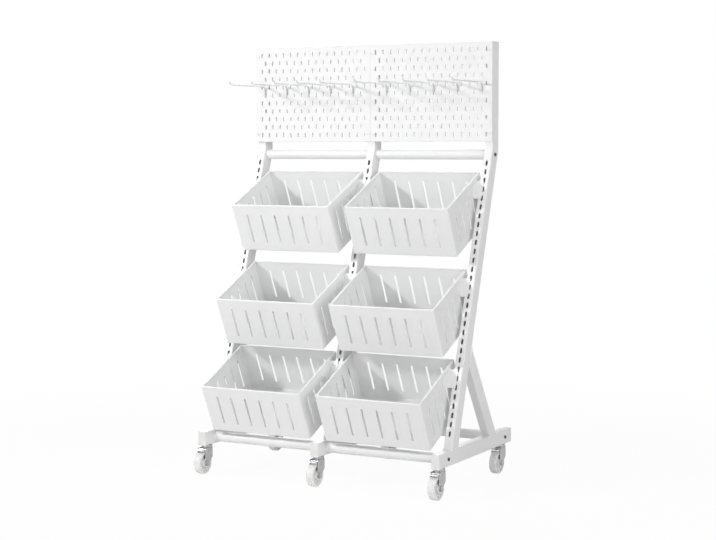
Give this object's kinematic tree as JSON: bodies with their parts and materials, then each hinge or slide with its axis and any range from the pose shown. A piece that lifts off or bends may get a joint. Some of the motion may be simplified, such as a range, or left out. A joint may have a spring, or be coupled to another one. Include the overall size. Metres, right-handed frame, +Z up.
{
  "type": "snack display rack",
  "caption": "White steel floor rack on braked casters: leaning slotted uprights, peg panels with wire hooks and tilted lift-off baskets with slotted walls for snacks.",
  "frame": {"origin": "on the floor under the middle of the rack's bounding box", "axes": "+X to the right seen from the front, +Y to the back, +Z up"},
  "size_m": [0.768, 0.5099, 1.205],
  "materials": {
    "white_paint": "satin powder coat",
    "peg_board": "white moulded board",
    "hook_wire": "powder-coated wire",
    "cap_plastic": "moulded",
    "dark_steel": "black oxide",
    "zinc": "zinc plated",
    "pedal_steel": "zinc plated",
    "wheel_plastic": "moulded nylon"
  },
  "bodies": {
    "frame": {"foot_left": "white_paint", "upright_left": "white_paint", "brace_left": "white_paint", "foot_centre": "white_paint", "upright_centre": "white_paint", "brace_centre": "white_paint", "foot_right": "white_paint", "upright_right": "white_paint", "brace_right": "white_paint", "tube_caps": "cap_plastic", "front_rail_left": "white_paint", "front_rail_right": "white_paint", "rear_rail_left": "white_paint", "rear_rail_right": "white_paint", "top_rail_left": "white_paint", "top_rail_right": "white_paint", "frame_bolts": "dark_steel", "peg_panel_left": "peg_board", "peg_panel_right": "peg_board", "panel_screws": "white_paint", "peg_hooks_left": "hook_wire", "peg_hooks_right": "hook_wire", "caster_stems": "zinc"},
    "basket_upper_left": {"basket_upper_left": "white_paint", "hangers_upper_left": "white_paint"},
    "basket_upper_right": {"basket_upper_right": "white_paint", "hangers_upper_right": "white_paint"},
    "basket_middle_left": {"basket_middle_left": "white_paint", "hangers_middle_left": "white_paint"},
    "basket_middle_right": {"basket_middle_right": "white_paint", "hangers_middle_right": "white_paint"},
    "basket_lower_left": {"basket_lower_left": "white_paint", "hangers_lower_left": "white_paint"},
    "basket_lower_right": {"basket_lower_right": "white_paint", "hangers_lower_right": "white_paint"},
    "swivel_front_left": {"fork_front_left": "zinc", "axle_front_left": "zinc"},
    "wheel_front_left": {"wheel_front_left": "wheel_plastic"},
    "pedal_front_left": {"pedal_front_left": "pedal_steel"},
    "swivel_front_centre": {"fork_front_centre": "zinc", "axle_front_centre": "zinc"},
    "wheel_front_centre": {"wheel_front_centre": "wheel_plastic"},
    "pedal_front_centre": {"pedal_front_centre": "pedal_steel"},
    "swivel_front_right": {"fork_front_right": "zinc", "axle_front_right": "zinc"},
    "wheel_front_right": {"wheel_front_right": "wheel_plastic"},
    "pedal_front_right": {"pedal_front_right": "pedal_steel"},
    "swivel_rear_left": {"fork_rear_left": "zinc", "axle_rear_left": "zinc"},
    "wheel_rear_left": {"wheel_rear_left": "wheel_plastic"},
    "pedal_rear_left": {"pedal_rear_left": "pedal_steel"},
    "swivel_rear_centre": {"fork_rear_centre": "zinc", "axle_rear_centre": "zinc"},
    "wheel_rear_centre": {"wheel_rear_centre": "wheel_plastic"},
    "pedal_rear_centre": {"pedal_rear_centre": "pedal_steel"},
    "swivel_rear_right": {"fork_rear_right": "zinc", "axle_rear_right": "zinc"},
    "wheel_rear_right": {"wheel_rear_right": "wheel_plastic"},
    "pedal_rear_right": {"pedal_rear_right": "pedal_steel"}
  },
  "joints": [
    {"name": "lift_upper_left", "type": "slide", "parent": "frame", "child": "basket_upper_left", "axis": [0, 0.309, 0.9511], "range_m": [0, 0.0072]},
    {"name": "lift_upper_right", "type": "slide", "parent": "frame", "child": "basket_upper_right", "axis": [0, 0.309, 0.9511], "range_m": [0, 0.0072]},
    {"name": "lift_middle_left", "type": "slide", "parent": "frame", "child": "basket_middle_left", "axis": [0, 0.309, 0.9511], "range_m": [0, 0.0072]},
    {"name": "lift_middle_right", "type": "slide", "parent": "frame", "child": "basket_middle_right", "axis": [0, 0.309, 0.9511], "range_m": [0, 0.0072]},
    {"name": "lift_lower_left", "type": "slide", "parent": "frame", "child": "basket_lower_left", "axis": [0, 0.309, 0.9511], "range_m": [0, 0.0072]},
    {"name": "lift_lower_right", "type": "slide", "parent": "frame", "child": "basket_lower_right", "axis": [0, 0.309, 0.9511], "range_m": [0, 0.0072]},
    {"name": "swivel_front_left", "type": "hinge", "parent": "frame", "child": "swivel_front_left", "pos_m": [-0.365, -0.1913, 0], "axis": [0, 0, 1], "continuous": true},
    {"name": "roll_front_left", "type": "hinge", "parent": "swivel_front_left", "child": "wheel_front_left", "pos_m": [-0.365, -0.2133, 0.0315], "axis": [1, 0, 0], "continuous": true},
    {"name": "brake_front_left", "type": "hinge", "parent": "swivel_front_left", "child": "pedal_front_left", "pos_m": [-0.365, -0.2123, 0.068], "axis": [1, 0, 0], "range_deg": [0, 10]},
    {"name": "swivel_front_centre", "type": "hinge", "parent": "frame", "child": "swivel_front_centre", "pos_m": [0, -0.1913, 0], "axis": [0, 0, 1], "continuous": true},
    {"name": "roll_front_centre", "type": "hinge", "parent": "swivel_front_centre", "child": "wheel_front_centre", "pos_m": [0, -0.2133, 0.0315], "axis": [1, 0, 0], "continuous": true},
    {"name": "brake_front_centre", "type": "hinge", "parent": "swivel_front_centre", "child": "pedal_front_centre", "pos_m": [0, -0.2123, 0.068], "axis": [1, 0, 0], "range_deg": [0, 10]},
    {"name": "swivel_front_right", "type": "hinge", "parent": "frame", "child": "swivel_front_right", "pos_m": [0.365, -0.1913, 0], "axis": [0, 0, 1], "continuous": true},
    {"name": "roll_front_right", "type": "hinge", "parent": "swivel_front_right", "child": "wheel_front_right", "pos_m": [0.365, -0.2133, 0.0315], "axis": [1, 0, 0], "continuous": true},
    {"name": "brake_front_right", "type": "hinge", "parent": "swivel_front_right", "child": "pedal_front_right", "pos_m": [0.365, -0.2123, 0.068], "axis": [1, 0, 0], "range_deg": [0, 10]},
    {"name": "swivel_rear_left", "type": "hinge", "parent": "frame", "child": "swivel_rear_left", "pos_m": [-0.365, 0.2017, 0], "axis": [0, 0, 1], "continuous": true},
    {"name": "roll_rear_left", "type": "hinge", "parent": "swivel_rear_left", "child": "wheel_rear_left", "pos_m": [-0.365, 0.1797, 0.0315], "axis": [1, 0, 0], "continuous": true},
    {"name": "brake_rear_left", "type": "hinge", "parent": "swivel_rear_left", "child": "pedal_rear_left", "pos_m": [-0.365, 0.1807, 0.068], "axis": [1, 0, 0], "range_deg": [0, 10]},
    {"name": "swivel_rear_centre", "type": "hinge", "parent": "frame", "child": "swivel_rear_centre", "pos_m": [0, 0.2017, 0], "axis": [0, 0, 1], "continuous": true},
    {"name": "roll_rear_centre", "type": "hinge", "parent": "swivel_rear_centre", "child": "wheel_rear_centre", "pos_m": [0, 0.2237, 0.0315], "axis": [1, 0, 0], "continuous": true},
    {"name": "brake_rear_centre", "type": "hinge", "parent": "swivel_rear_centre", "child": "pedal_rear_centre", "pos_m": [0, 0.2227, 0.068], "axis": [-1, 0, 0], "range_deg": [0, 10]},
    {"name": "swivel_rear_right", "type": "hinge", "parent": "frame", "child": "swivel_rear_right", "pos_m": [0.365, 0.2017, 0], "axis": [0, 0, 1], "continuous": true},
    {"name": "roll_rear_right", "type": "hinge", "parent": "swivel_rear_right", "child": "wheel_rear_right", "pos_m": [0.365, 0.1797, 0.0315], "axis": [1, 0, 0], "continuous": true},
    {"name": "brake_rear_right", "type": "hinge", "parent": "swivel_rear_right", "child": "pedal_rear_right", "pos_m": [0.365, 0.1807, 0.068], "axis": [1, 0, 0], "range_deg": [0, 10]}
  ]
}
